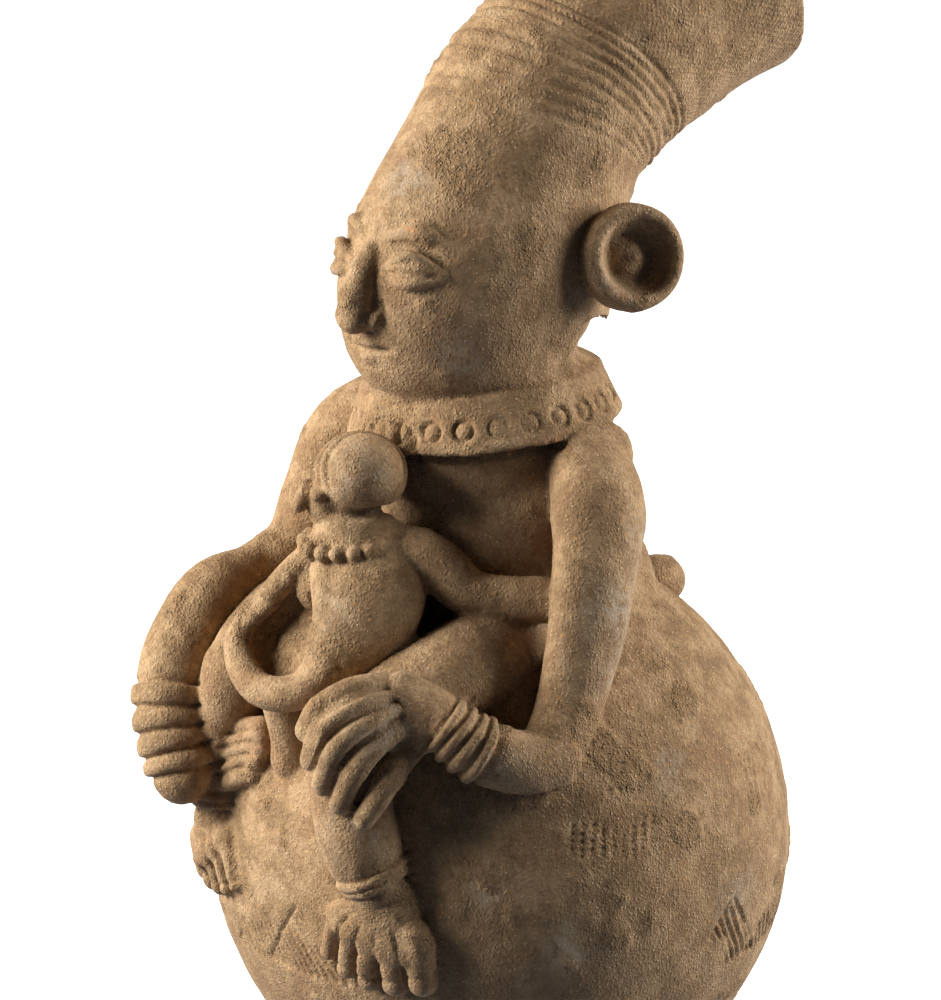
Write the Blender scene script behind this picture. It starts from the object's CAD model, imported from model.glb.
# %% [markdown]
# # A hollow clay jar in the shape of a seated figure
# The real jar is one piece of fired clay. A round pot carries a seated figure whose arms and legs lie over
# it, a small figure with a basin sits on the lap, and the long coiffure opens as the mouth. A potter rolls
# and presses such forms together, smooths the joins, stamps and combs patterns, and years in the ground
# leave fine sandy soil in every hollow. This lesson works in the same order: rolls of clay, joining,
# hollowing, carving, soil, colour, and then a plain studio.

import math

import bpy
import bmesh
import numpy as np
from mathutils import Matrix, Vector


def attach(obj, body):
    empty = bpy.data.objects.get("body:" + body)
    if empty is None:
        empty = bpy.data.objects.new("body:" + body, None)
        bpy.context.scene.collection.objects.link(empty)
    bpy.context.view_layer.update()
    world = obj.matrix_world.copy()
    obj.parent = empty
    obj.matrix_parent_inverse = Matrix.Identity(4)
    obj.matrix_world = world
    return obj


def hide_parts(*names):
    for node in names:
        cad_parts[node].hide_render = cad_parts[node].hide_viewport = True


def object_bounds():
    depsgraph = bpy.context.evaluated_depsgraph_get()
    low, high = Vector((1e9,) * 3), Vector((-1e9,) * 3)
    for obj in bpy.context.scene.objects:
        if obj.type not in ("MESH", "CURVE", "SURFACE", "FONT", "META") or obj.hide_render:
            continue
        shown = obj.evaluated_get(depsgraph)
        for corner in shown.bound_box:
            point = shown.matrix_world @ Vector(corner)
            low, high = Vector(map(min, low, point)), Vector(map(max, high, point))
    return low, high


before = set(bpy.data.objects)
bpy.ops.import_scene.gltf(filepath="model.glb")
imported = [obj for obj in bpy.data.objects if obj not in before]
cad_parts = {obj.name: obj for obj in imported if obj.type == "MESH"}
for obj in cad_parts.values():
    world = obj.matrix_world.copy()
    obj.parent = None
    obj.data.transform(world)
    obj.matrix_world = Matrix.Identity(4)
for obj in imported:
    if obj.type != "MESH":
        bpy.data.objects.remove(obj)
cad_low, cad_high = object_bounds()
print("CAD box in mm:", [[round(1000 * v) for v in corner] for corner in (cad_low, cad_high)])

# %% [markdown]
# ## Places on the jar
# Everything is drawn in millimetres and turned into metres when it becomes a mesh. Most forms lie over the
# round pot, so a place there is easiest to say as degrees round the pot, degrees up, and the lift above
# its wall. The figure itself is measured from the pot's crown, and its face from the middle of the head.
# These are the same places that the CAD solid uses, so the finished piece keeps the solid's form.

# %% Named sizes and the three kinds of place
POT_RADIUS = 93.0
FOOT_RADIUS = 38.0
POT_CENTRE = math.sqrt(POT_RADIUS ** 2 - FOOT_RADIUS ** 2)
CROWN = POT_CENTRE + POT_RADIUS
HEAD_CENTRE = np.array([0, -9, 88 + CROWN])
HEAD_RADII = np.array([38, 45.5, 46])


def knot(at, across=0.0, along=None):
    return np.asarray(at, float), across, across if along is None else along


def fig(x, y, z, across=0.0, along=None):
    return knot([x, y, z + CROWN], across, along)


def direction(longitude, latitude):
    lon, lat = math.radians(longitude), math.radians(latitude)
    return np.array([math.sin(lon) * math.cos(lat), -math.cos(lon) * math.cos(lat), math.sin(lat)])


def pot(longitude, latitude, lift, across=0.0, along=None):
    place = direction(longitude, latitude) * (POT_RADIUS + lift) + [0, 0, POT_CENTRE]
    return knot(place, across, along)


def face(longitude, latitude, lift, across=0.0, along=None):
    way = direction(longitude, latitude)
    return knot(way * HEAD_RADII + way * lift + HEAD_CENTRE, across, along)


def sized(place, across, along=None):
    return knot(place[0], across, along)


print("the pot's crown is", round(CROWN, 1), "mm up")

# %% [markdown]
# ## Rolls, turned forms and pressed lumps
# A limb could be sculpted or boxed out, but a potter's limb is a roll of clay that is thicker here and
# thinner there. So one helper sweeps an oval along a smooth curve, and its width glides from knot to knot.
# Bracelets are small swellings along the roll. Pots, discs and bowls are turned round an axis, and lumps
# are squashed balls. Each helper only adds its form to the heap of clay.

# %% A smooth curve through knots
clay = []


def smooth_curve(points, shares, power=0.5):
    points = np.asarray(points, float)
    last = len(points) - 1
    position = np.clip(np.asarray(shares, float), 0, 1) * last
    first = np.minimum(position.astype(int), last - 1)
    w = (position - first)[:, None]
    padded = np.vstack([2 * points[0] - points[1], points, 2 * points[-1] - points[-2]])
    p0, p1, p2, p3 = (padded[first + k] for k in range(4))
    d0, d1, d2 = (np.maximum(np.linalg.norm(b - a, axis=1, keepdims=True), 1e-6) ** power
                  for a, b in ((p0, p1), (p1, p2), (p2, p3)))
    start = ((p1 - p0) / d0 - (p2 - p0) / (d0 + d1) + (p2 - p1) / d1) * d1
    end = ((p2 - p1) / d1 - (p3 - p1) / (d1 + d2) + (p3 - p2) / d2) * d1
    return ((2 * w**3 - 3 * w**2 + 1) * p1 + (w**3 - 2 * w**2 + w) * start
            + (3 * w**2 - 2 * w**3) * p2 + (w**3 - w**2) * end)


def lengths(vectors):
    return np.linalg.norm(vectors, axis=1)


def unit(vectors):
    return vectors / np.maximum(np.linalg.norm(vectors, axis=-1, keepdims=True), 1e-12)


def add_rings(rings, poles):
    """Joins rings of points into a closed skin with a point at each end."""
    rings = np.asarray(rings)
    count, sides = rings.shape[:2]
    points = np.vstack([rings.reshape(-1, 3), poles])
    start, end = count * sides, count * sides + 1
    faces = []
    for j in range(sides):
        k = (j + 1) % sides
        faces += [(i * sides + j, i * sides + k, (i + 1) * sides + k, (i + 1) * sides + j)
                  for i in range(count - 1)]
        faces += [(start, k, j), (end, (count - 1) * sides + j, (count - 1) * sides + k)]
    clay.append((points, faces))


# %% A roll of clay
def roll(knots, sides=24, rows=6, side=None, ends=(1, 1), bands=None, round_ends=5):
    """`bands` is (from, to, count, height): rings that swell between two shares of the curve."""
    steps = rows * (len(knots) - 1)
    shares = np.linspace(0, 1, steps + 1)
    swelling = np.zeros_like(shares)
    if bands:
        low, high, count, height = bands
        inside = np.linspace(low, high, 12 * count + 1)
        shares = np.unique(np.concatenate([shares[(shares < low) | (shares > high)], inside]))
        turns = np.clip((shares - low) / (high - low), 0, 1) * count
        swelling = height * np.abs(np.sin(np.pi * turns)) ** 0.5
    places = [k[0] for k in knots]
    centres = smooth_curve(places, shares)
    tangents = unit(smooth_curve(places, shares + 1e-4) - smooth_curve(places, shares - 1e-4))
    widths = smooth_curve([[k[1], k[2]] for k in knots], shares, power=0) + swelling[:, None]
    lateral = np.cross([0.31, 0.62, 0.72], tangents[0]) if side is None else np.asarray(side, float)
    angles = np.linspace(0, 2 * np.pi, sides, endpoint=False)[:, None]
    frames = []
    for tangent in tangents:
        depth = unit(np.cross(lateral, tangent))
        across = np.cross(tangent, depth)
        lateral = across if side is None else lateral
        frames.append((across, depth))
    tips = np.linspace(0, np.pi / 2, round_ends + 1)[1:-1]
    order = [(0, math.sin(a), -math.cos(a) * ends[0]) for a in tips]
    order += [(i, 1, 0) for i in range(len(shares))]
    order += [(len(shares) - 1, math.sin(a), math.cos(a) * ends[1]) for a in tips[::-1]]
    rings = []
    for i, size, push in order:
        across, depth = frames[i]
        wide, deep = widths[i]
        middle = centres[i] + tangents[i] * push * deep
        rings.append(middle + size * (wide * np.sin(angles) * across + deep * np.cos(angles) * depth))
    first_tip = centres[0] - tangents[0] * ends[0] * widths[0, 1]
    last_tip = centres[-1] + tangents[-1] * ends[1] * widths[-1, 1]
    add_rings(rings, [first_tip, last_tip])


# %% Turned forms, lumps and rows of places
def axes_of(axis):
    turn = Vector((0, 1, 0)).rotation_difference(Vector(axis)).to_matrix()
    return [np.array(turn @ Vector(v)) for v in ((1, 0, 0), (0, 1, 0), (0, 0, 1))]


def turned(profile, at, axis, sides=48, stretch=1.0, rows=5):
    """The profile's pairs are radius and distance along the axis, from end to end."""
    shares = np.linspace(0, 1, rows * (len(profile) - 1) + 1)
    line = smooth_curve(profile, shares) if rows > 1 else np.array(profile)
    x, y, z = axes_of(axis)
    angles = np.linspace(0, 2 * np.pi, sides, endpoint=False)[:, None]
    rings = [at + y * d + max(r, 0.02) * (x * np.sin(angles) + z * stretch * np.cos(angles))
             for r, d in line[1:-1]]
    add_rings(rings, [at + y * line[0][1], at + y * line[-1][1]])


def ball(at, x, y, z, turn=0.0, sides=20, rows=12):
    c, s = math.cos(turn), math.sin(turn)
    angles = np.linspace(0, 2 * np.pi, sides, endpoint=False)
    rings = []
    for a in np.linspace(0, np.pi, rows + 1)[1:-1]:
        flat = np.stack([x * math.sin(a) * np.cos(angles), y * math.sin(a) * np.sin(angles)], 1)
        level = np.full(sides, z * math.cos(a))
        turned_x, turned_y = c * flat[:, 0] - s * flat[:, 1], s * flat[:, 0] + c * flat[:, 1]
        rings.append(at + np.stack([turned_x, turned_y, level], 1))
    add_rings(rings, [at + [0, 0, z], at - [0, 0, z]])


def bent_row(knots, share):
    a, b, c = (k[0] for k in knots)
    return (1 - share) ** 2 * a + 2 * share * (1 - share) * b + share ** 2 * c


def between(a, b, share):
    return a[0] * (1 - share) + b[0] * share


# %% [markdown]
# ## Pot, torso, head and coiffure
# The pot is a ball with a flat spot to stand on. The torso is a wide oval roll that sinks into it, and
# head and coiffure are one roll that leans back and flares to the mouth, with three low raised rings.

# %% Pot, torso, head and coiffure
SIDEWAYS = (1, 0, 0)
WALL_SHRINK = 0.5  # the solid's facets lie this far inside the round

start = math.asin(FOOT_RADIUS / POT_RADIUS)
profile = [(0, 0), (0.5 * FOOT_RADIUS, 0)]
for a in np.linspace(start, math.pi, 60):
    profile.append(((POT_RADIUS - WALL_SHRINK) * math.sin(a), POT_CENTRE - POT_RADIUS * math.cos(a)))
turned(profile, np.zeros(3), (0, 0, 1), sides=120, rows=1)

TORSO = [fig(0, 0, -48, 56, 54), fig(0, 0, -20, 52, 49), fig(0, -2, 2, 45, 46), fig(0, -5, 20, 47, 43),
         fig(0, -6, 33, 42, 36), fig(0, -6, 43, 35, 33), fig(0, -6, 54, 31, 31)]
roll(TORSO, sides=64, side=SIDEWAYS, ends=(0.3, 0.4))

MOUTH_RADIUS = 43.0
COIFFURE_RADIUS = 35.5
COIFFURE = [fig(0, -6, 56, 29, 30), fig(0, -10, 66, 33.5, 39), fig(0, -12, 79, 37.5, 45),
            fig(0, -6, 95, 38, 45), fig(0, 4, 116, 36, 39),
            fig(0, 16, 134, COIFFURE_RADIUS, 1.03 * COIFFURE_RADIUS), fig(0, 31, 146, COIFFURE_RADIUS),
            fig(0, 48, 157, 1.02 * COIFFURE_RADIUS), fig(0, 67, 168, 0.9 * MOUTH_RADIUS),
            fig(0, 85, 178, MOUTH_RADIUS)]
RAISED_RINGS = (0.62, 0.83, 3, 0.5)
roll(COIFFURE, sides=72, side=SIDEWAYS, ends=(0.4, 0.07), bands=RAISED_RINGS)
print("forms in the heap:", len(clay))

# %% [markdown]
# ## The face
# The face is a calm one of regular proportions, in the same low relief as the rest: brows and lids are
# thin rolls, the eyes are flattened balls, and nose, lips and chin are short soft rolls and lumps.

# %% Brows, eyes, nose, lips and chin
for s in (-1, 1):
    roll([face(s * 9, 21, -0.6, 1.6), face(s * 25, 25, 0.4, 2.2), face(s * 43, 18, -0.8, 1.4)], sides=12)
    ball(face(s * 24, 11, -1.2)[0], 8.4, 5, 4.6, turn=math.radians(s * 26))
    roll([face(s * 11, 10, 0.4, 1.2), face(s * 24, 16, 3.0, 1.7), face(s * 38, 9.5, 0.4, 1.2)], sides=12)
    roll([face(s * 11, 9, 0.4, 1.2), face(s * 24, 5.6, 2.6, 1.5), face(s * 38, 8.5, 0.4, 1.2)], sides=12)
    ball(face(s * 7.5, -9, 1.6)[0], 4.4, 4.6, 3.6)
roll([face(0, 19, -2, 3.4, 3), face(0, 6, 2.4, 4, 4.4), face(0, -7, 6, 5.6, 5.4)], side=SIDEWAYS)
roll([face(-15, -19.5, -0.4, 1.5), face(-5, -17.2, 2.8, 2.4), face(0, -17.8, 3, 2.2),
      face(5, -17.2, 2.8, 2.4), face(15, -19.5, -0.4, 1.5)], sides=16)
roll([face(-14, -21, -0.6, 1.6), face(0, -23.4, 2.6, 2.9), face(14, -21, -0.6, 1.6)], sides=16)
ball(face(0, -35, -3.5)[0], 12, 8, 8)
print("forms in the heap:", len(clay))

# %% [markdown]
# ## Ear ornaments and collar
# The ear ornaments are thick discs with a rounded rim and a boss in the hollow, and the collar is a broad
# band. All are round, so each is turned from a profile of radius and distance, as on a wheel.

# %% Ear ornaments and collar
EAR_RADIUS, EAR_THICKNESS = 16.5, 9.0
ear_profile = [(0, -1.2), (0.45, -1.2), (0.72, -0.1), (0.94, 0.05), (1, 0.5), (0.93, 0.98), (0.78, 1.02),
               (0.64, 0.62), (0.44, 0.25), (0.24, 0.42), (0, 0.6)]
for s in (-1, 1):
    turned([(r * EAR_RADIUS, d * EAR_THICKNESS) for r, d in ear_profile], fig(s * 41.5, 14, 96)[0],
           (s * 0.92, -0.33, 0.2), sides=64)

COLLAR_RADIUS, COLLAR_HEIGHT, COLLAR_THICKNESS = 41.5, 17.0, 3.0
COLLAR_CENTRE = fig(0, -8, 49.5)[0]
COLLAR_AXIS = unit(np.array([-0.07, -0.08, 1]))
r, h, t = COLLAR_RADIUS, COLLAR_HEIGHT, COLLAR_THICKNESS
turned([(0, -0.7 * h), (r - 5 * t, -0.7 * h), (r + t, -0.5 * h), (r - 1.2 * t, 0.42 * h),
        (r - 3.5 * t, 0.62 * h), (0.66 * r, 0.95 * h), (0, 0.95 * h)],
       COLLAR_CENTRE, COLLAR_AXIS, sides=96, rows=1)
print("forms in the heap:", len(clay))

# %% [markdown]
# ## Arms and hands
# The left arm hangs to the pot and its forearm comes forward to the knee. The right arm swings out in a
# wide loop, and its hand grips the shin. Fingers are thin rolls side by side, laid between bent rows of
# places: knuckles, middle and tips.

# %% Hands
FINGER_RADIUS = 3.8
DIGITS = 5
FINGER_CUT, TOE_CUT, CUT_WIDTH = 0.9, 1.3, 0.7
nails = []  # where each toe ends, and which way it points
grooved = []  # rings to cut later, across a roll
cuts = []  # lines to cut later, between fingers and toes


def hand(wrist, rows, size=1.0):
    for i in range(DIGITS):
        share = i / (DIGITS - 1)
        knots = [knot(bent_row(row, share), size * FINGER_RADIUS * (1.14 - 0.07 * n))
                 for n, row in enumerate(rows)]
        roll(knots, sides=16)
    spread = rows[0][2][0] - rows[0][0][0]
    for i in range(DIGITS - 1):
        share = (i + 0.5) / (DIGITS - 1)
        line = [bent_row(row, share) for row in rows]
        cuts.append(([0.3 * wrist[0] + 0.7 * line[0]] + line, unit(spread), FINGER_CUT, CUT_WIDTH))
    half_wide = 0.5 * np.linalg.norm(spread) + 0.7 * FINGER_RADIUS
    knuckles = knot(bent_row(rows[0], 0.5), half_wide, 1.2 * FINGER_RADIUS)
    back = knot(between(wrist, knuckles, 0.6), 0.9 * knuckles[1], 1.5 * FINGER_RADIUS)
    roll([wrist, back, knuckles], side=unit(spread), ends=(1, 1.6))


# %% Left arm and right arm
WRIST_RADIUS = 9.0
BRACELETS, BRACELET_HEIGHT = 4, 1.6

left_wrist = sized(pot(36, 34.2, 14.5), WRIST_RADIUS, 0.85 * WRIST_RADIUS)
roll([fig(40, 0, 35, 13, 15), fig(54, -9, 24, 13.5, 17), fig(61, -17, 7, 12, 15.5),
      fig(64.5, -24, -13, 11, 13.5), fig(65.5, -32, -33, 9.5, 11.5), pot(58.5, 31.5, 0, 8.5, 10)],
     sides=36, side=SIDEWAYS, ends=(0.6, 0.8))
FOREARM = [pot(59, 30.5, 0, 9, 9.5), pot(51, 29.5, 3.5, 9.5, 9.5), sized(pot(43, 31, 9.5), WRIST_RADIUS),
           left_wrist]
roll(FOREARM, sides=32, ends=(0.9, 0.6), bands=(0.6, 1, BRACELETS, BRACELET_HEIGHT))
roll([fig(40, 2, 35, 13), fig(32, 10, 33, 11), fig(22, 13, 32, 10), fig(8, 14, 30, 8)])  # shoulder blade
roll([fig(0, -14, 44, 37, 35), fig(0, -10, 29, 42, 36.5), fig(0, -6, 14, 43, 38)],  # breast under the collar
     sides=48, side=SIDEWAYS, ends=(0.3, 0.5))
grooved.append(([k[0] for k in FOREARM], 0.6, 1, BRACELETS, 1.1, 0.7, 14.0))
hand(left_wrist, [
    [pot(25.5, 37.6, 23.3), pot(28.6, 34.5, 24.5), pot(31.8, 31.1, 13.4)],
    [pot(21.7, 35, 31.2), pot(23.5, 29.9, 35.3), pot(29.6, 26.4, 17.8)],
    [pot(17.6, 31.8, 32.9), pot(19.8, 26.4, 34.4), pot(27.6, 21.8, 18.8)],
    [pot(15.2, 28.8, 29.3), pot(16.7, 20.1, 24.2), pot(25.1, 17.7, 17.8)]])

right_wrist = sized(pot(-24.5, 14.8, 14.3), 1.15 * WRIST_RADIUS)
RIGHT_ARM = [fig(-38, -8, 38, 14, 15), fig(-50, -20, 30, 13, 14), fig(-56, -27, 10, 12.5, 12.5),
             fig(-60, -33, -7, 12), pot(-51, 45, 18, 12), pot(-39, 40, 26, 12), pot(-31.5, 30.3, 26, 11.5),
             pot(-27.7, 21.9, 20.7, 11), right_wrist]
roll(RIGHT_ARM, sides=36, ends=(0.6, 0.8), bands=(0.8, 1, BRACELETS, BRACELET_HEIGHT))
grooved.append(([k[0] for k in RIGHT_ARM], 0.8, 1, BRACELETS, 1.2, 0.75, 16.0))
hand(right_wrist, [
    [pot(-28, 21.3, 5), pot(-24.5, 17.5, 5), pot(-24.5, 13, 3)],
    [pot(-19.1, 25.7, 5), pot(-15.5, 22.3, 5), pot(-16.9, 17, 2)],
    [pot(-11.1, 28.2, 4.5), pot(-9.1, 25, 3), pot(-12, 19.7, 0)]], 0.8)
print("forms in the heap:", len(clay))

# %% [markdown]
# ## Legs and feet
# Thigh, shin and foot are rolls too. The foot is a flat roll that ends in a row of toes, and the big toe
# is on the inner side, so `big` says which side that is.

# %% Legs
TOE_RADIUS = 3.7
ANKLET_HEIGHT = 1.4


def leg(knee, shin, calf, ankle, instep, roots, tips, big):
    roll([fig(big * 32, -26, -22, 17), fig(big * 39, -54, -24, 15.5), knee], sides=36)
    roll([knee, shin, calf, ankle], sides=36, ends=(1, 0.6), bands=(0.82, 0.97, 1, ANKLET_HEIGHT))
    grooved.append(([k[0] for k in (knee, shin, calf, ankle)], 0.82, 0.97, 2, 0.8, 0.5, 16.0))
    for i in range(DIGITS):
        share = i / (DIGITS - 1)
        width = TOE_RADIUS * (0.8 + 0.5 * (share if big > 0 else 1 - share))
        root = knot(bent_row(roots, share), 1.15 * width)
        tip = knot(bent_row(tips, share), width)
        roll([knot(between(instep, root, 0.4), width), root, tip], sides=16)
        nails.append((tip[0], unit(tip[0] - root[0]), width))
    spread = roots[2][0] - roots[0][0]
    for i in range(DIGITS - 1):
        share = (i + 0.5) / (DIGITS - 1)
        root, tip = bent_row(roots, share), bent_row(tips, share)
        line = [0.35 * instep[0] + 0.65 * root, root, tip + 0.5 * (tip - root)]
        cuts.append((line, unit(spread), TOE_CUT, CUT_WIDTH))
    front = knot(bent_row(roots, 0.5), 0.5 * np.linalg.norm(spread) + 1.3 * TOE_RADIUS, 1.4 * TOE_RADIUS)
    roll([ankle, sized(instep, 0.75 * front[1], 2 * TOE_RADIUS), front], side=unit(spread), ends=(1, 1.4))


leg(pot(17.8, 29.5, 12, 13), pot(18.8, 21.9, 8, 12), pot(21, 12.5, 3, 13.5, 12.5),
    pot(24.3, 4.5, -1, 10.5, 9.5), pot(25.3, 0.5, 0),
    [pot(17.2, -0.2, 1.5), pot(22.3, -6, 3), pot(31.7, -3.4, 1.5)],
    [pot(13.3, -9.3, 0.5), pot(21.1, -15.8, 2.1), pot(32.8, -12.6, 0.5)], 1)
leg(pot(-20.9, 34.8, 14, 10.5), pot(-23.9, 26.6, 7.8, 10), pot(-25.8, 17.9, 3.2, 10), pot(-26.7, 9, -1, 8.5),
    pot(-26, 4.2, 0), [pot(-30, 1.9, 2), pot(-23.3, 0.8, 2), pot(-19.4, 4.1, 0)],
    [pot(-31.5, -5, 1), pot(-23, -7.5, 1), pot(-15.4, -3.8, -0.5)], -1)
print("toes with a nail:", len(nails))

# %% [markdown]
# ## The small figure, its basin and the lug
# The small figure is a smooth mass with a round, domed head and a string of beads. One arm reaches back to
# the large figure's side, and the other lies along a shallow basin, whose thick lip runs up into the small
# figure's own side. Lip and arms are rolls, the heads and beads are lumps, and the basin is turned.

# %% The small figure
roll([fig(4, -65, 22, 10, 10), fig(5, -65, 11, 14.5, 13), fig(6, -63, 1, 16.5, 14.5),
      fig(7, -61, -10, 17.5, 15.5), fig(5, -65, -22, 15.5, 13), fig(1, -72, -33, 11, 9)],
     sides=40, side=(0.8, 0.6, 0), ends=(1, 1))
skull = fig(5, -62, 34)[0]
dome_way = unit(np.array([0.8, -0.45, 0.4]))
ball(skull, 14.5, 14.5, 13, sides=32, rows=20)
ball(skull + 4.5 * dome_way, 12, 12, 11.5, sides=32, rows=20)
ball(fig(0, -69, 26)[0], 8, 8, 11)
roll([fig(-4, -75.5, 31, 1.8), fig(-5, -78, 25, 2.2)], sides=12)
ball(fig(2, -77, 29)[0], 2.6, 2, 1.7)
ball(fig(-8, -71, 29)[0], 2.6, 2, 1.7)
BEADS, BEAD_RADIUS = 18, 2.4
for i in range(BEADS):
    a = 2 * math.pi * i / BEADS
    ball(fig(4 + 14.8 * math.cos(a), -65 + 14 * math.sin(a), 13.5 + 1.5 * math.sin(a))[0],
         BEAD_RADIUS, BEAD_RADIUS, BEAD_RADIUS, sides=12, rows=8)
roll([fig(12, -58, 9, 9.5), fig(23, -50, 8, 8.8), fig(33, -42, -2, 7.8), fig(48, -26, -4, 7.8)])
roll([fig(5.5, -65, 14, 13.5, 10.5), fig(11, -64, 6, 16, 12), fig(17.3, -69, -4, 16.2, 12),
      fig(16.3, -76, -14, 13.1, 11), fig(13.2, -81, -23, 10.2, 9), fig(10.3, -87, -29, 7, 6.5)],
     sides=32, side=(0.67, 0.74, 0), ends=(0.6, 0.8))
ball(fig(-1, -73, 1)[0], 8, 8, 10)
roll([fig(-1, -74, 11, 4.6), fig(-8.2, -81.9, 1.2, 3.8), fig(-13.3, -85.6, -6.1, 3.5)], sides=16)
for i in range(4):
    ball(fig(-11 - 1.8 * i, -86.2 - 1.3 * i, -6.6 - 2.2 * i)[0], 3.2, 3.2, 1.7, sides=12, rows=8)

# %% Basin and lug
BASIN_RADIUS, BASIN_DEPTH, BASIN_WALL, BASIN_STRETCH = 18.5, 15.0, 5.5, 1.2
BASIN_CENTRE = fig(-2, -84.5, -15)[0]
BASIN_AXIS = unit(np.array([0.05, -0.88, 0.46]))

r, d, w = BASIN_RADIUS, BASIN_DEPTH, BASIN_WALL
turned([(0, -d), (0.55 * r, -0.88 * d), (0.88 * r, -0.45 * d), (r, 0.1 * d),
        (r - 0.1 * w, 0.1 * d + 0.35 * w), (r - 0.5 * w, 0.1 * d + 0.55 * w),
        (r - 0.9 * w, 0.1 * d + 0.35 * w), (r - w, 0),
        (0.7 * (r - w), -0.45 * (d - w)), (0.35 * (r - w), -0.8 * (d - w)), (0, w - d)],
       BASIN_CENTRE, BASIN_AXIS, stretch=BASIN_STRETCH)
roll([fig(0.5, -73.8, 9.8, 4), fig(8.6, -77.6, 1.3, 5.5), fig(13.2, -80.6, -9.3, 6),
      fig(15.8, -84.1, -18.7, 6), fig(12.8, -88.7, -26, 5.8), fig(6.6, -93.8, -29.5, 5.4),
      fig(-2.7, -96.3, -29.4, 5),
      fig(-11.8, -95.5, -24.9, 4.6), fig(-17.2, -92.9, -18.3, 4), fig(-17.6, -89.7, -12.6, 3.4)])
turned([(0, -0.65 * d), (0.5 * r, -0.55 * d), (0.68 * r, -0.38 * d), (0.5 * r, -0.27 * d), (0, -0.24 * d)],
       BASIN_CENTRE, BASIN_AXIS, stretch=BASIN_STRETCH)
roll([fig(-5, -84, -34, 8), fig(-4, -83, -47, 6.5), fig(-5, -81, -55, 7.5)])
ball(fig(0, 68, -24)[0], 8.8, 10.4, 8)
print("forms in the heap:", len(clay))

# %% [markdown]
# ## Joining the clay
# The forms still pass through each other. A boolean union would leave hard creases, where a potter wipes
# the joins smooth with a wet finger. A voxel remesh melts the whole heap into one even skin, and a few
# rounds of relaxing, each point moving towards its neighbours, wipe the joins.

# %% One skin
MM = 0.001
VOXEL = 0.8 * MM


def new_piece(name, forms):
    points, faces, shift = [], [], 0
    for form_points, form_faces in forms:
        points.append(form_points)
        faces += [tuple(shift + i for i in corner) for corner in form_faces]
        shift += len(form_points)
    mesh = bpy.data.meshes.new(name)
    mesh.from_pydata((np.vstack(points) * MM).tolist(), [], faces)
    piece = bpy.data.objects.new(name, mesh)
    bpy.context.scene.collection.objects.link(piece)
    return piece


def apply_modifiers(piece):
    depsgraph = bpy.context.evaluated_depsgraph_get()
    old, piece.data = piece.data, bpy.data.meshes.new_from_object(piece.evaluated_get(depsgraph))
    piece.modifiers.clear()
    bpy.data.meshes.remove(old)


def remesh(piece, voxel):
    melt = piece.modifiers.new("melt", "REMESH")
    melt.mode = "VOXEL"
    melt.voxel_size = voxel
    apply_modifiers(piece)


jar = new_piece("clay_jar", clay)
remesh(jar, VOXEL)
print("points after joining:", len(jar.data.vertices))


# %% Points, edges and relaxing
def read(items, what, wide, kind=np.float32):
    values = np.empty(len(items) * wide, kind)
    items.foreach_get(what, values)
    return values.reshape(-1, wide)


def points_of(piece):
    return read(piece.data.vertices, "co", 3).astype(float) / MM


def move_points(piece, points):
    piece.data.vertices.foreach_set("co", (points * MM).astype(np.float32).ravel())
    piece.data.update()


def normals_of(piece):
    return read(piece.data.vertex_normals, "vector", 3).astype(float)


def edges_of(piece):
    return read(piece.data.edges, "vertices", 2, np.int32)


def neighbour_mean(values, edges):
    count = len(values)
    a, b = edges.T
    total = np.bincount(a, values[b], count) + np.bincount(b, values[a], count)
    return total / np.maximum(np.bincount(edges.ravel(), minlength=count), 1)


def step(values, low, high):
    t = np.clip((values - low) / (high - low), 0, 1)
    return t * t * (3 - 2 * t)


def bell(away, width):
    """1 where `away` is 0, and soon 0 beyond `width`."""
    return np.exp(-(away / width) ** 2)


def relaxed(points, edges, rounds, share=0.5):
    points = points.copy()
    for _ in range(rounds):
        mean = np.stack([neighbour_mean(points[:, k], edges) for k in range(3)], 1)
        points += share * (mean - points)
    return points


move_points(jar, relaxed(points_of(jar), edges_of(jar), 2))

# %% [markdown]
# ## Hollowing
# The jar is a vessel, so it is hollow: a round hollow in the pot, and a throat through torso, head and
# coiffure to the mouth. Throat and hollow are made as one form of their own and cut out with a boolean.
# Relaxing the points near the mouth rounds the cut lip.

# %% The hollow and the cut
FIGURE_WALL, MOUTH_WALL, POT_WALL, FLOOR = 9.0, 7.0, 8.0, 10.0


def inset(place, wall):
    return place[0], place[1] - wall, place[2] - wall


clay = []
way_out = unit(COIFFURE[-1][0] - COIFFURE[-2][0])
throat = [inset(TORSO[1], 1.6 * FIGURE_WALL), inset(TORSO[3], 1.2 * FIGURE_WALL),
          inset(TORSO[5], FIGURE_WALL), inset(COIFFURE[1], 1.2 * FIGURE_WALL),
          inset(COIFFURE[3], 1.2 * FIGURE_WALL),
          inset(COIFFURE[5], FIGURE_WALL), inset(COIFFURE[7], FIGURE_WALL), inset(COIFFURE[9], MOUTH_WALL),
          knot(COIFFURE[9][0] + 14 * way_out, MOUTH_RADIUS - 0.7 * MOUTH_WALL)]
roll(throat, sides=40, side=SIDEWAYS, ends=(1, 0.2))
inner = POT_RADIUS - POT_WALL
low = math.acos((POT_CENTRE - FLOOR) / inner)
profile = [(0, FLOOR)]
for a in np.linspace(low, math.pi, 30):
    profile.append((inner * math.sin(a), POT_CENTRE - inner * math.cos(a)))
turned(profile, np.zeros(3), (0, 0, 1), sides=60, rows=1)
hollow = new_piece("hollow", clay)
remesh(hollow, 2.0 * MM)

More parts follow.
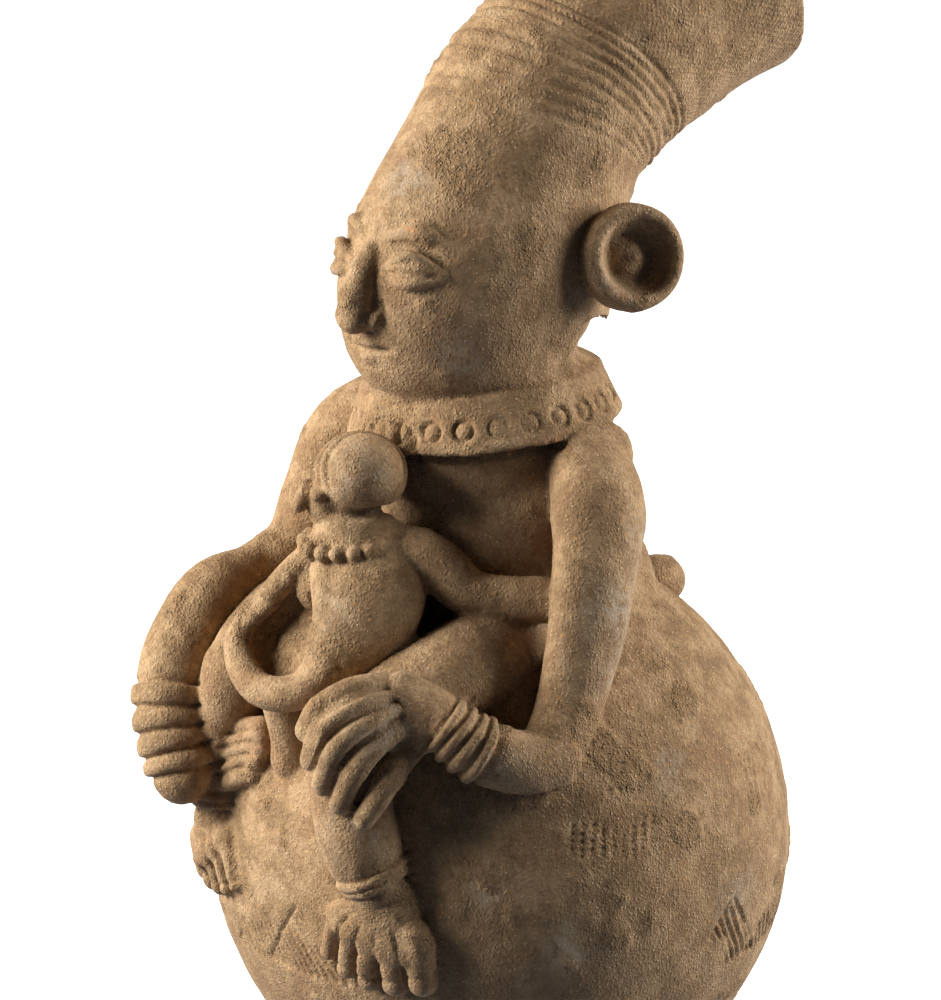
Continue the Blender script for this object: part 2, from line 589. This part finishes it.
cut = jar.modifiers.new("hollow", "BOOLEAN")
cut.operation = "DIFFERENCE"
cut.solver = "MANIFOLD"
cut.object = hollow
apply_modifiers(jar)
bpy.data.objects.remove(hollow)
points, edges = points_of(jar), edges_of(jar)
near_mouth = step(lengths(points - COIFFURE[-1][0]), 58, 52)[:, None]
move_points(jar, points + near_mouth * (relaxed(points, edges, 6) - points))
print("points after hollowing:", len(jar.data.vertices))

# %% [markdown]
# ## Carving, stamping and soil
# Now the surface gets its marks. They could be sculpted by hand or painted as bumps, but marks worked out
# for all the points at once stay true geometry and come out the same each run. Each is a push along the
# point's own normal, in millimetres: in for grooves and stamps, out for soil. Noise with a fixed seed makes
# the hand's wobble and the crumbs.

# %% Noise and crumbs
TABLE = np.random.default_rng(7).uniform(-1, 1, 8192)


def hashed(x, y, z, seed):
    return TABLE[(x * 73856093 ^ y * 19349663 ^ z * 83492791 ^ seed * 2654435761) & 8191]


def noise(points, size, seed=0):
    """Smooth noise from -1 to 1 with lumps about `size` mm across."""
    scaled = points / size
    base = np.floor(scaled).astype(np.int64)
    f = scaled - base
    f = f * f * (3 - 2 * f)
    total = 0
    for dx in (0, 1):
        for dy in (0, 1):
            for dz in (0, 1):
                weight = (f[:, 0] if dx else 1 - f[:, 0]) * (f[:, 1] if dy else 1 - f[:, 1])
                weight = weight * (f[:, 2] if dz else 1 - f[:, 2])
                total = total + weight * hashed(base[:, 0] + dx, base[:, 1] + dy, base[:, 2] + dz, seed)
    return total


def crumbs(points, size, seed=0):
    """Round grains about `size` mm across, 0 between them and 1 at their tops."""
    scaled = points / size
    base = np.floor(scaled).astype(np.int64)
    nearest = np.full(len(points), 9.0)
    for dx in (-1, 0, 1):
        for dy in (-1, 0, 1):
            for dz in (-1, 0, 1):
                cell = base + [dx, dy, dz]
                spot = np.stack([hashed(*cell.T, seed + k) for k in range(3)], 1) * 0.5 + 0.5
                nearest = np.minimum(nearest, ((cell + spot - scaled) ** 2).sum(1))
    return np.clip(1 - nearest / 0.45, 0, 1)


# %% [markdown]
# ## Rulers laid on the jar
# To place a mark, every point has to know where it lies: on the pot in degrees round and up, and on head
# and coiffure in millimetres along the leaning axis and as an angle round it.


# %% Where a point lies on the coiffure and on the pot
def run_along(line):
    return np.concatenate([[0], np.cumsum(lengths(np.diff(line, axis=0)))])


def nearest_on(line, places):
    """For each place, the number of the line's nearest point."""
    return np.concatenate([((part[:, None] - line[None]) ** 2).sum(2).argmin(1)
                           for part in np.array_split(places, 1 + len(places) // 8000)])


points = points_of(jar)
edges = edges_of(jar)
stations = np.linspace(0, 1, 241)
axis_line = smooth_curve([k[0] for k in COIFFURE], stations)
axis_way = unit(np.gradient(axis_line, axis=0))
run = run_along(axis_line)

SHOULDER_LEVEL = 222
head = np.flatnonzero(points[:, 2] > SHOULDER_LEVEL)
nearest = nearest_on(axis_line, points[head])
offset = points[head] - axis_line[nearest]
along = run[nearest] + (offset * axis_way[nearest]).sum(1)
up = np.cross(axis_way[nearest], SIDEWAYS)
around = np.arctan2(offset @ np.array(SIDEWAYS), -(offset * up).sum(1))
reach = lengths(offset)

from_middle = points - [0, 0, POT_CENTRE]
pot_reach = lengths(from_middle)
pot_lon = np.degrees(np.arctan2(from_middle[:, 0], -from_middle[:, 1]))
pot_lat = np.degrees(np.arcsin(np.clip(from_middle[:, 2] / pot_reach, -1, 1)))
on_pot = step(pot_reach, 90, 91.5) * step(pot_reach, 95.5, 94)
print("points on the bare pot:", int((on_pot > 0.5).sum()))

# %% The smooth inside is left out of the carving
normals = normals_of(jar)
inside = (pot_reach < 88) & ((from_middle * normals).sum(1) < -0.2 * pot_reach)
inside |= (np.hypot(points[:, 0], points[:, 1] + 5) < 40) & (points[:, 2] < 225) & (
    points[:, 0] * normals[:, 0] + (points[:, 1] + 5) * normals[:, 1] < -3)
inside[head] |= (reach < 38.5) & ((offset * normals[head]).sum(1) < -0.25 * reach)
outer = np.flatnonzero(~inside)
print("points inside the jar:", int(inside.sum()), "of", len(points))

# %% Hand-made unevenness
lift = 0.8 * noise(points, 38, 1) + 0.4 * noise(points, 15, 2) + 0.15 * noise(points, 6, 3)
print("unevenness in mm:", round(float(lift.min()), 2), "to", round(float(lift.max()), 2))

# %% [markdown]
# ## Grooves
# Fingers and toes are parted by lines along the roll, and bracelets and anklets by rings across it. Both
# are cut where a point lies close to a curve that was noted down when the roll was made.


# %% Grooves along and across a roll
def near_line(places, reach, samples=60):
    """Points within `reach` of a curve: number, nearest place, offset, and the curve with its ways."""
    line = smooth_curve(places, np.linspace(0, 1, samples))
    way = unit(np.gradient(line, axis=0))
    box = ((points > line.min(0) - reach) & (points < line.max(0) + reach)).all(1)
    found = np.flatnonzero(box)
    spot = nearest_on(line, points[found])
    away = points[found] - line[spot]
    keep = lengths(away) < reach
    return found[keep], spot[keep], away[keep], line, way


def groove(places, blade, depth, width, reach=6.0, fade=0.1):
    """Cuts along the curve with a blade whose flat side faces `blade`."""
    found, spot, away, line, way = near_line(places, reach)
    share = spot / (len(line) - 1)
    taper = step(share, 0, fade) * step(share, 1, 1 - fade)
    taper = taper * step(lengths(away), reach, 0.7 * reach)
    flat = unit(np.cross(np.cross(way, blade), way))[spot]
    lift[found] -= depth * taper * bell((away * flat).sum(1), width)


def ring_grooves(places, low, high, count, depth, width, reach):
    """Cuts `count` + 1 rings across the curve between two of its shares."""
    found, spot, away, line, way = near_line(places, reach, 200)
    length = run_along(line)
    at = length[spot] + (away * way[spot]).sum(1)
    first, last = np.interp([low, high], np.linspace(0, 1, 200), length)
    edge = step(lengths(away), reach, reach - 1.5)
    wander = 0.35 * noise(points[found], 7, 61)
    for place in np.linspace(first, last, count + 1):
        lift[found] -= depth * edge * bell(at + wander - place, width)


for places, low, high, count, depth, width, thickness in grooved:
    ring_grooves(places, low, high, count, depth, width, thickness)
for places, blade, depth, width in cuts:
    groove(places, blade, depth, width)
print("rings cut:", len(grooved), "and lines cut:", len(cuts))

# %% Eyelids, mouth and nostrils made crisp
LEVEL_BLADE = (0, 0, 1)


def face_line(*places):
    return [face(*place)[0] for place in places]


for s in (-1, 1):
    groove(face_line((s * 12, 9, 1), (s * 24, 9.6, 3), (s * 37, 8.6, 1)), LEVEL_BLADE, 0.8, 0.6, 4.5)
    groove(face_line((s * 10, 20, 1), (s * 24, 19.5, 2), (s * 40, 13, 1)), LEVEL_BLADE, 0.9, 1.1, 5)
    groove(face_line((s * 10, 0, 2), (s * 13, -8, 3), (s * 9, -13, 3)), (1, 0, 0.3 * s), 0.9, 0.9, 5)
groove(face_line((-15, -20.3, 0.6), (0, -20.2, 3.5), (15, -20.3, 0.6)), LEVEL_BLADE, 1.5, 0.75, 5)
groove(face_line((-9, -28, 0), (0, -29, 0.5), (9, -28, 0)), LEVEL_BLADE, 0.8, 1.3, 5)

# %% [markdown]
# ## Stamps and combs
# The rings on the collar were pressed in with a cut reed, and the rows on the pot were drawn with a comb
# or a point. Each is a repeating pattern of two lengths laid on the skin, so a remainder or a sine tells
# every point how far it lies from the nearest mark. Noise wears parts of the pattern away.

# %% Stamped rings on the collar
x, y, z = axes_of(COLLAR_AXIS)
from_collar = points - COLLAR_CENTRE
level = from_collar @ y
turn = np.arctan2(from_collar @ x, from_collar @ z)
STAMP_SPACING, STAMP_RADIUS, STAMP_LEVEL = 10.4, 2.9, -1.5
span = STAMP_SPACING / COLLAR_RADIUS
centre_turn = (np.floor(turn / span) + 0.5) * span
across_band = (turn - centre_turn) * COLLAR_RADIUS
ring = np.hypot(across_band, (level - STAMP_LEVEL) * 1.05)
radial = lengths(from_collar - level[:, None] * y)
on_collar = step(np.abs(level), 8.5, 6.5) * step(radial, 35, 37) * step(radial, 47.5, 46)
middle_turn = math.atan2((direction(60, 0) @ x), (direction(60, 0) @ z))
kept = step(noise(points, 15, 31), -0.75, -0.3) * (1 - 0.75 * bell(turn - middle_turn, 0.22))
lift -= 1.4 * on_collar * kept * bell(ring - STAMP_RADIUS, 0.6)
lift -= 0.35 * on_collar * kept * step(ring, 2.4, 1.6)
under_band = bell(level + 0.5 * COLLAR_HEIGHT + 1.5, 1.6) * step(radial, 47, 44)
lift -= 1.2 * under_band * step(radial, 30, 34)
print("points in the stamped band:", int((on_collar > 0.5).sum()))

# %% Combed and cut patterns on the pot
u = pot_lon * np.cos(np.radians(pot_lat)) * math.pi / 180 * POT_RADIUS
v = pot_lat * math.pi / 180 * POT_RADIUS


def strokes(value, spacing, width):
    """Cut lines at even spacing, 1 at the bottom of each cut."""
    return bell(((value / spacing) % 1 - 0.5) * spacing, width)


def patch(lon, lat, half_wide, half_high, soft=3.0):
    du = np.abs(pot_lon - lon) * np.cos(np.radians(pot_lat)) * math.pi / 180 * POT_RADIUS
    dv = np.abs(pot_lat - lat) * math.pi / 180 * POT_RADIUS
    return step(du, half_wide + soft, half_wide) * step(dv, half_high + soft, half_high) * on_pot


COMBED, COMBED_LATITUDE = (-112, -67, 66, 75, 112, 157, -157), 17
HATCHED, HATCHED_HEIGHT = (-142, -118, -94, -70, -46, -8, 5, 99, 118, 142, 166), -17
wobble = 1.2 * noise(points, 12, 5)
worn = step(noise(points, 9, 6), -0.6, 0.3)
dotted = 0.55 + 0.45 * np.sin(2 * np.pi * (v + 0.8 * wobble) / 2.3)
for lon in COMBED:
    comb = strokes(u + 0.16 * v + 0.5 * wobble, 3.3, 0.8)
    lift -= 0.85 * patch(lon, COMBED_LATITUDE, 6, 10) * worn * dotted * comb
for lon in HATCHED:
    near = (pot_lon - lon + 180) % 360 - 180
    side_ways = near * math.pi / 180 * POT_RADIUS * np.cos(np.radians(pot_lat))
    height = v - HATCHED_HEIGHT
    slope = np.abs(side_ways) + 0.75 * height
    in_triangle = step(height, -11, -10) * step(height, 10, 9) * step(slope, 10.5, 9.5)
    edge = bell(slope - 10, 0.7) * step(height, -11, -10) * step(height, 13, 12)
    hatch = strokes(side_ways + 0.55 * height + 0.6 * wobble, 3.2, 0.75)
    lift -= 1.15 * on_pot * worn * np.maximum(in_triangle * hatch, edge)
print("combed patches:", len(COMBED), "and hatched triangles:", len(HATCHED))

# %% Nails, and the grooves on the small figure's head
for tip, way, width in nails:
    from_tip = points - tip
    forward = from_tip @ way
    near = lengths(from_tip - forward[:, None] * way)
    arc = forward + 0.12 * near ** 2
    lift -= 0.75 * step(near, 1.25 * width, 0.9 * width) * bell(arc - 0.1, 0.55)
from_skull = points - skull
skull_reach = lengths(from_skull)
skull_angle = np.degrees(np.arccos(np.clip((from_skull @ dome_way) / np.maximum(skull_reach, 1), -1, 1)))
on_skull = step(skull_reach, 9, 11) * step(skull_reach, 22, 19) * step(from_skull[:, 2], -4, 1)
for degrees in (60, 76, 92):
    lift -= 1.8 * on_skull * bell(skull_angle - degrees - 2 * noise(points, 8, 9), 3.0)
under_hair = bell(from_skull[:, 2] + 10.5, 1.7) * step(skull_reach, 18, 15)
lift -= 2.6 * under_hair
print("deepest cut in mm:", round(float(-lift.min()), 2))

# %% [markdown]
# ## Marks on head and coiffure
# Fine rings run round the coiffure, a little aslant, and rows of small dents from a rolled cord cover the
# hair, much worn. The mesh is too coarse for crisp dents, so here they are only a faint wave. Their rows
# are noted on the points, and the finish repeats them as bumps.

# %% Rings round the coiffure
RING_COUNT, RING_SPACING, RING_SLANT = 9, 3.4, 6.8
coiffure_wander = 1.0 * noise(points[head], 22, 71) + 0.35 * noise(points[head], 6, 72)
coiffure_start = np.interp(0.54, stations, run)
leaned = along + RING_SLANT * np.cos(around)
for number in range(RING_COUNT):
    at = coiffure_start + RING_SPACING * number
    faint = step(noise(points[head], 19, 73 + number), -0.75, -0.1)
    depth = (0.25 + 0.6 * faint) * (0.6 + 0.05 * number)
    lift[head] -= depth * bell(leaned + coiffure_wander - at, 0.8) * step(reach, 26, 30)

# %% Rows of small dents over head and coiffure
DENT_ROW, DENT_STEP, DENT_RADIUS = 2.6, 2.1, 37
dent_mask = np.zeros(len(points))
dent_along = np.zeros(len(points))
dent_around = np.zeros(len(points))
dent_along[head] = along + 0.9 * noise(points[head], 7, 42)
dent_around[head] = around * DENT_RADIUS + 0.9 * noise(points[head], 8, 43)
hair = step(reach, 24, 28) * step(reach, 48, 46) * step(along, 42, 52)
temple = step(np.abs(np.degrees(around)), 30, 46)
front_edge = step(along, 62, 72)
dent_mask[head] = hair * np.maximum(temple, front_edge) * step(noise(points[head], 13, 41), -0.5, 0.4)
dents = np.sin(2 * np.pi * dent_along / DENT_ROW) * np.cos(2 * np.pi * dent_around / DENT_STEP)
lift -= 0.05 * dent_mask * dents
print("points with dents:", int((dent_mask > 0.5).sum()))

# %% [markdown]
# ## Soil
# Years in the ground leave sandy soil, thick in hollows and in a few crusts, and none on handled places.
# How far a point lies below its smoothed surroundings tells how hollow its place is. That measure also
# sharpens the joins, which the melting left too soft. The crusts' places are chosen by eye.

# %% Soil in the hollows and crumbs on the skin
smooth_near = relaxed(points, edges, 6)
smooth_wide = relaxed(smooth_near, edges, 18)
crevice = ((smooth_near - points) * normals).sum(1)
hollow_amount = ((smooth_wide - points) * normals).sum(1)
lift -= 0.45 * np.clip(crevice, -0.4, 1) + 0.3 * np.clip(hollow_amount, -0.5, 1.5)  # crisper joins
in_hollow = step(hollow_amount, 0.15, 1.1)
soil_spots = [pot(41.6, 24, 4, 16), pot(66, 33, 1, 17), pot(52, 24, 2, 12), pot(109, 14, 0, 7),
              pot(87, 13, 0, 8), pot(98, 36, 0, 9), pot(76, 27, 0, 11), fig(14, -42, 25, 12),
              fig(0, -44, 47, 15), fig(-30, -30, 40, 12), fig(38, 6, 122, 10), face(28, 24, 0, 8),
              face(40, 55, 0, 17), fig(20, -62, 2, 12), fig(2, -78, 14, 9), pot(20, 40, 8, 14),
              pot(-10, 20, 0, 8), pot(-40, 10, 2, 8), fig(-12, -90, -12, 9), pot(-140, 30, 0, 26),
              knot(BASIN_CENTRE, 20), fig(-4, -76, 2, 12), pot(180, 5, 0, 30), fig(0, 40, 40, 22),
              pot(-80, 10, 0, 18), fig(-38, 6, 122, 10)]


def near_spots(spots, core):
    """1 within `core` of each spot's radius, and 0 from its radius on."""
    amount = np.zeros(len(points))
    for centre, radius, _ in spots:
        amount = np.maximum(amount, step(lengths(points - centre), radius, core * radius))
    return amount


soil_place = near_spots(soil_spots, 0.3)
patchy = noise(points, 11, 11) + 0.6 * noise(points, 5, 12)
soil = step(patchy + 1.3 * soil_place + 0.8 * in_hollow, 0.35, 1.0)
skin = points[outer]
grain = 0.4 * crumbs(skin, 3.0, 13) + 0.3 * crumbs(skin, 4.6, 17) * step(noise(skin, 7, 19), -0.1, 0.3)
lift[outer] += soil[outer] * (0.15 + grain)
print("share of the skin under soil:", round(float(soil.mean()), 2))

# %% Push the points, and keep them inside the CAD box
floor_level = step(points[:, 2], 0.2, 2.5)
points = points + normals * (lift * floor_level * ~inside)[:, None]
burrs = [fig(29.5, 16.5, 75.5, 9), knot(left_wrist[0] + [0, 9, 9.7], 7)]  # wiped off with a wet finger
points = points + near_spots(burrs, 0.4)[:, None] * (relaxed(points, edges, 10) - points)
low_corner, high_corner = np.array(cad_low) / MM, np.array(cad_high) / MM
points = np.clip(points, low_corner, high_corner)
move_points(jar, points)
print("furthest push out in mm:", round(float(lift.max()), 2))

# %% [markdown]
# ## Fewer triangles, and notes for the colour
# The skin is now far denser than it needs to be. A decimate modifier keeps triangles where the surface
# bends and takes them from smooth stretches. Before that, each point notes what the colour will need:
# how hollow or raised it is, how much soil lies there, and how much it was polished.

# %% Notes on the points
normals = normals_of(jar)
smooth_near = relaxed(points, edges, 8)
dip = step(((smooth_near - points) * normals).sum(1), 0.1, 0.8)
smooth_wide = relaxed(smooth_near, edges, 6)
ridge = step(-((smooth_wide - points) * normals).sum(1), 0.12, 0.9)
smooth_wide = relaxed(smooth_wide, edges, 30, 0.9)
deep = step(((smooth_wide - points) * normals).sum(1), 0.3, 2.2)
polish_spots = [face(8, 52, 0, 17), pot(48, 30, 8, 15), pot(26, 31, 24, 17), fig(70, -20, -5, 20),
                fig(12, -68, 36, 15), fig(15, -78, -6, 13), knot(BASIN_CENTRE + [4, -4, -20], 14),
                pot(22, 14, 12, 15), face(45, -22, 0, 13), fig(70, -22, -20, 20), fig(38, -20, 15, 14),
                fig(56, 4, 92, 16), pot(-48, 30, 30, 16), fig(66, -6, 12, 16), pot(62, -6, 0, 16),
                pot(86, 24, 0, 11), pot(100, -2, 0, 14), pot(45, 5, 0, 10)]
polish = near_spots(polish_spots, 0.2)
polish = polish * step(noise(points, 8, 51) + 0.5 * noise(points, 3.5, 52), -0.7, 0.5)
polish = np.clip(polish + 0.75 * ridge * step(noise(points, 14, 53), -0.3, 0.5), 0, 1) * (1 - 0.85 * soil)
notes = {"ridge": ridge, "dip": dip, "deep": deep, "soil": soil, "polish": polish, "dent_mask": dent_mask,
         "dent_along": dent_along, "dent_around": dent_around}
for name, values in notes.items():
    note = jar.data.attributes.new(name, "FLOAT", "POINT")
    note.data.foreach_set("value", values.astype(np.float32))

# %% Fewer triangles
TRIANGLES = 190000
thin = jar.modifiers.new("thin", "DECIMATE")
jar.data.calc_loop_triangles()
thin.ratio = min(1.0, TRIANGLES / len(jar.data.loop_triangles))
thin.use_collapse_triangulate = True
apply_modifiers(jar)
for polygon in jar.data.polygons:
    polygon.use_smooth = True
print("triangles:", len(jar.data.polygons))

# %% [markdown]
# ## Loose crumbs
# Melting and cutting leave a few specks that touch nothing. Every point gets a number, the lowest spreads
# along the edges until it stands for all that hang together, and sets of only a few points are deleted.


# %% Loose crumbs taken away
def islands(count, edges):
    """A number for each point, the same for all points that hang together."""
    label = np.arange(count)
    a, b = edges.T
    while True:
        lower = label.copy()
        np.minimum.at(lower, a, label[b])
        np.minimum.at(lower, b, label[a])
        lower = lower[lower]
        if (lower == label).all():
            return label
        label = lower


FEWEST_POINTS = 200
label = islands(len(jar.data.vertices), edges_of(jar))
loose = np.flatnonzero(np.bincount(label, minlength=len(label))[label] < FEWEST_POINTS)
skin_mesh = bmesh.new()
skin_mesh.from_mesh(jar.data)
skin_mesh.verts.ensure_lookup_table()
bmesh.ops.delete(skin_mesh, geom=[skin_mesh.verts[i] for i in loose], context="VERTS")
skin_mesh.to_mesh(jar.data)
skin_mesh.free()
print("points in loose crumbs:", len(loose), "and triangles left:", len(jar.data.polygons))
print("notes kept:", [a.name for a in jar.data.attributes if a.name in notes])

# %% [markdown]
# ## Fired clay under dust
# The clay is brown, greyer where it was polished and handled, and a dry tan dust lies over it, thin on
# raised places and thick in hollows. Sandy soil brings bright and rusty grains. All of it is mixed from
# noise at the size of the real marks and from the notes on the points, so no picture is needed.

# %% Small helpers for nodes
material = bpy.data.materials.new("fired_clay_under_dust")
material.use_nodes = True
tree = material.node_tree
tree.nodes.clear()


def add(kind, inputs=(), **settings):
    """A node with its settings, and each input linked or set."""
    made = tree.nodes.new(kind)
    for name, value in settings.items():
        setattr(made, name, value)
    for name, value in dict(inputs).items():
        if isinstance(value, bpy.types.NodeSocket):
            tree.links.new(value, made.inputs[name])
        else:
            made.inputs[name].default_value = value
    return made


def maths(operation, a, b=0.0, clamp=False):
    return add("ShaderNodeMath", {0: a, 1: b}, operation=operation, use_clamp=clamp).outputs[0]


def times(a, b):
    return maths("MULTIPLY", a, b)


def plus(a, b, clamp=False):
    return maths("ADD", a, b, clamp)


def ramp(value, low, high):
    """0 up to `low`, 1 from `high`, softly between."""
    made = add("ShaderNodeMapRange", {"Value": value, "From Min": low, "From Max": high},
               interpolation_type="SMOOTHSTEP")
    return made.outputs["Result"]


def mix(factor, a, b):
    made = add("ShaderNodeMix", {0: factor, 6: a, 7: b}, data_type="RGBA")
    return made.outputs[2]


def note(name):
    return add("ShaderNodeAttribute", attribute_name=name).outputs["Fac"]


place = add("ShaderNodeTexCoord").outputs["Object"]


def speckle(size, detail=2.0, rough=0.5):
    """Noise with lumps about `size` mm across, around 0.5."""
    settings = {"Vector": place, "Scale": 1000 / size, "Detail": detail, "Roughness": rough}
    made = add("ShaderNodeTexNoise", settings)
    return made.outputs["Fac"]


def grains(size, channel):
    """Distance to the nearest grain of about `size` mm, and that grain's own random number."""
    made = add("ShaderNodeTexVoronoi", {"Vector": place, "Scale": 1000 / size})
    tint = add("ShaderNodeSeparateColor", {"Color": made.outputs["Color"]})
    return made.outputs["Distance"], tint.outputs[channel]


# %% Colours
CLAY = (0.240, 0.144, 0.067, 1)
CLAY_RED = (0.285, 0.160, 0.078, 1)
POLISHED = (0.305, 0.235, 0.155, 1)
DUST = (0.374, 0.229, 0.107, 1)
DUST_PALE = (0.455, 0.294, 0.152, 1)
SOIL = (0.298, 0.176, 0.078, 1)
DARK = (0.050, 0.032, 0.017, 1)
GRAIN = (0.60, 0.44, 0.26, 1)
RUST = (0.46, 0.25, 0.10, 1)
ORANGE = (0.60, 0.22, 0.08, 1)

cloud = speckle(34, 3)
blotch = speckle(11, 4, 0.6)
mottle = speckle(3.2, 4, 0.65)
fine = speckle(1.1, 4, 0.65)

clay_colour = mix(ramp(cloud, 0.42, 0.66), CLAY, CLAY_RED)
dust_colour = mix(ramp(blotch, 0.4, 0.62), DUST, DUST_PALE)
cover = plus(times(blotch, 0.6), times(mottle, 0.6))
dust_amount = plus(ramp(cover, 0.42, 0.72), times(note("dip"), 0.35), clamp=True)
dust_amount = times(dust_amount, maths("SUBTRACT", 1.0, times(note("ridge"), 0.35)))
colour = mix(dust_amount, clay_colour, dust_colour)
polish_amount = times(note("polish"), ramp(mottle, 0.34, 0.6))
colour = mix(times(polish_amount, 0.85), colour, POLISHED)
soil_colour = mix(ramp(mottle, 0.38, 0.64), SOIL, DUST)
colour = mix(times(note("soil"), 0.75), colour, soil_colour)
colour = mix(times(note("deep"), 0.7), colour, DARK)
dim = mix(0.35, colour, DARK)
colour = mix(times(ramp(fine, 0.56, 0.38), 0.75), colour, dim)
blots = times(ramp(speckle(1.7, 4, 0.7), 0.42, 0.33), plus(note("soil"), 0.35))
colour = mix(times(blots, 0.7), colour, DARK)

# %% Grains and chips
distance, chance = grains(1.2, 0)
is_grain = times(ramp(distance, 0.30, 0.16), ramp(chance, 0.72, 0.78))
colour = mix(times(is_grain, 0.8), colour, GRAIN)
rust_distance, rust_chance = grains(2.1, 1)
is_rust = times(ramp(rust_distance, 0.36, 0.2), ramp(rust_chance, 0.86, 0.9))
colour = mix(times(is_rust, 0.7), colour, RUST)
chips = times(ramp(speckle(6.5, 3), 0.66, 0.70), note("ridge"))
colour = mix(times(chips, 0.8), colour, ORANGE)

# %% Bumps and the shader
dent_waves = times(maths("SINE", times(note("dent_along"), 2 * math.pi / DENT_ROW)),
                   maths("COSINE", times(note("dent_around"), 2 * math.pi / DENT_STEP)))
roughened = maths("SUBTRACT", 1.0, times(polish_amount, 0.8))
grit = plus(times(fine, 0.6), times(speckle(0.45, 2), 0.4))
grit = plus(grit, times(ramp(distance, 0.5, 0.1), 0.3))
grit = times(grit, roughened)
grit = times(grit, plus(times(note("soil"), 0.9), 0.7))
height = plus(grit, times(mottle, 0.4))
height = maths("SUBTRACT", height, times(times(dent_waves, note("dent_mask")), 0.10))
bump = add("ShaderNodeBump", {"Height": height, "Strength": 1.0, "Distance": 0.0009})
roughness = maths("SUBTRACT", 0.95, times(polish_amount, 0.38))
shader = add("ShaderNodeBsdfPrincipled", {"Base Color": colour, "Roughness": roughness,
                                          "Normal": bump.outputs[0], "Specular IOR Level": 0.35})
add("ShaderNodeOutputMaterial", {"Surface": shader.outputs[0]})
jar.data.materials.clear()
jar.data.materials.append(material)
print("nodes in the clay:", len(tree.nodes))

# %% [markdown]
# ## The jar takes its place
# The piece rides on the frame's one body, stands for the CAD node and takes its finish from that slot.

# %% Ride, replace, slot
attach(jar, "root")
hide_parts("jar")

# %% [markdown]
# ## A plain studio
# The photograph has a white ground, a strong soft light from the left, a weaker one from the right behind,
# and little else, which keeps the carving crisp. The floor is a wide pale sheet.

# %% Floor
floor_mesh = bpy.data.meshes.new("floor")
half = 6.0
corners = [(-half, -half, 0), (half, -half, 0), (half, half, 0), (-half, half, 0)]
floor_mesh.from_pydata(corners, [], [(0, 1, 2, 3)])
floor = bpy.data.objects.new("floor", floor_mesh)
bpy.context.scene.collection.objects.link(floor)
paper = bpy.data.materials.new("pale_paper")
paper.use_nodes = True
for name, value in (("Base Color", (0.9, 0.9, 0.9, 1)), ("Roughness", 0.9),
                    ("Emission Color", (1, 1, 1, 1)), ("Emission Strength", 1.1)):
    paper.node_tree.nodes["Principled BSDF"].inputs[name].default_value = value
floor_mesh.materials.append(paper)
floor.visible_diffuse = False

# %% Camera
AZIMUTH, ELEVATION, DISTANCE = math.radians(48), math.radians(14), 1500.0
POT_MIDDLE = np.array([0, 0, 85.0])
FRAME_PIXEL, POT_PIXEL, MIDDLE_PIXEL = 0.32, (500, 825), (470.5, 500)
right = np.array([math.cos(AZIMUTH), math.sin(AZIMUTH), 0])
back = np.array([math.sin(AZIMUTH) * math.cos(ELEVATION), -math.cos(AZIMUTH) * math.cos(ELEVATION),
                 math.sin(ELEVATION)])
upward = np.cross(back, right)
target = (POT_MIDDLE + right * (MIDDLE_PIXEL[0] - POT_PIXEL[0]) * FRAME_PIXEL
          + upward * (POT_PIXEL[1] - MIDDLE_PIXEL[1]) * FRAME_PIXEL)
eye = target + back * DISTANCE
camera = bpy.data.objects.new("camera", bpy.data.cameras.new("camera"))
camera.data.lens = 168.75
camera.data.sensor_width = 36
camera.location = Vector(eye * MM)
camera.rotation_euler = Vector(back).to_track_quat("Z", "Y").to_euler()
bpy.context.scene.collection.objects.link(camera)
bpy.context.scene.camera = camera


# %% Lights
def soft_light(name, place, aim, width, height, power, colour=(1, 1, 1)):
    lamp = bpy.data.lights.new(name, "AREA")
    lamp.shape = "RECTANGLE"
    lamp.size, lamp.size_y = width, height
    lamp.energy = power
    lamp.color = colour
    light = bpy.data.objects.new(name, lamp)
    light.location = place
    light.rotation_euler = (Vector(aim) - Vector(place)).to_track_quat("-Z", "Y").to_euler()
    bpy.context.scene.collection.objects.link(light)
    return light


def studio(sideways, towards, height):
    """A place in metres: to the picture's right, towards the camera, and up."""
    level = unit(back * [1, 1, 0])
    return tuple(right * sideways + level * towards + np.array([0, 0, height]))


middle = (0, 0, 0.2)
soft_light("key", studio(-1.2, 0.14, 0.66), middle, 0.8, 0.7, 42, (1.0, 0.99, 0.98))
soft_light("right_side", studio(1.2, -0.14, 0.55), middle, 0.7, 0.8, 27, (1.0, 0.99, 0.98))
world = bpy.data.worlds.new("room")
world.use_nodes = True
for name, value in (("Color", (1, 1, 1, 1)), ("Strength", 0.02)):
    world.node_tree.nodes["Background"].inputs[name].default_value = value
bpy.context.scene.world = world
bpy.context.scene.view_settings.view_transform = "Standard"
